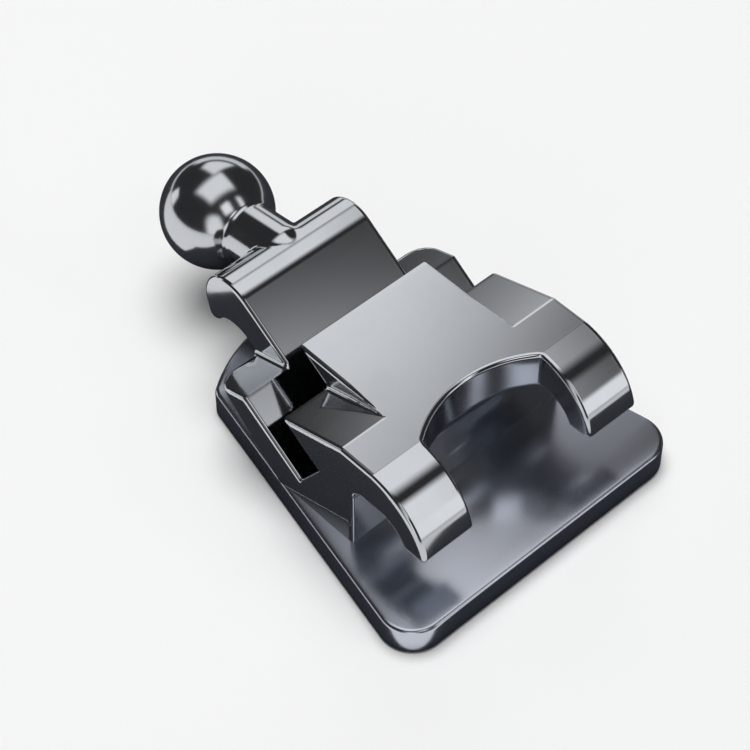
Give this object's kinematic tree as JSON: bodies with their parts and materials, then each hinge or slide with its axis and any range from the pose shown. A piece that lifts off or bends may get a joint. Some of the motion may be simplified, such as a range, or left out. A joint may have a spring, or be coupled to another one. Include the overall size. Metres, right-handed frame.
{
  "type": "lingual orthodontic bracket",
  "caption": "Lingual orthodontic bracket of moulded steel: tie wings, a sloping archwire slot, a ball hook and a flat bonding base",
  "frame": {"origin": "middle of the bonding base's underside, between its front edge and the middle of its rear arc, on the middle plane", "axes": "+X runs along the archwire slot, across the bracket; +Y runs from the tie wings back to the ball hook; +Z points away from the tooth, out of the bonding base"},
  "size_m": [0.0036, 0.0052, 0.0017],
  "materials": {
    "steel": "polished stainless steel"
  },
  "bodies": {
    "root": {"bracket": "steel"}
  },
  "joints": []
}
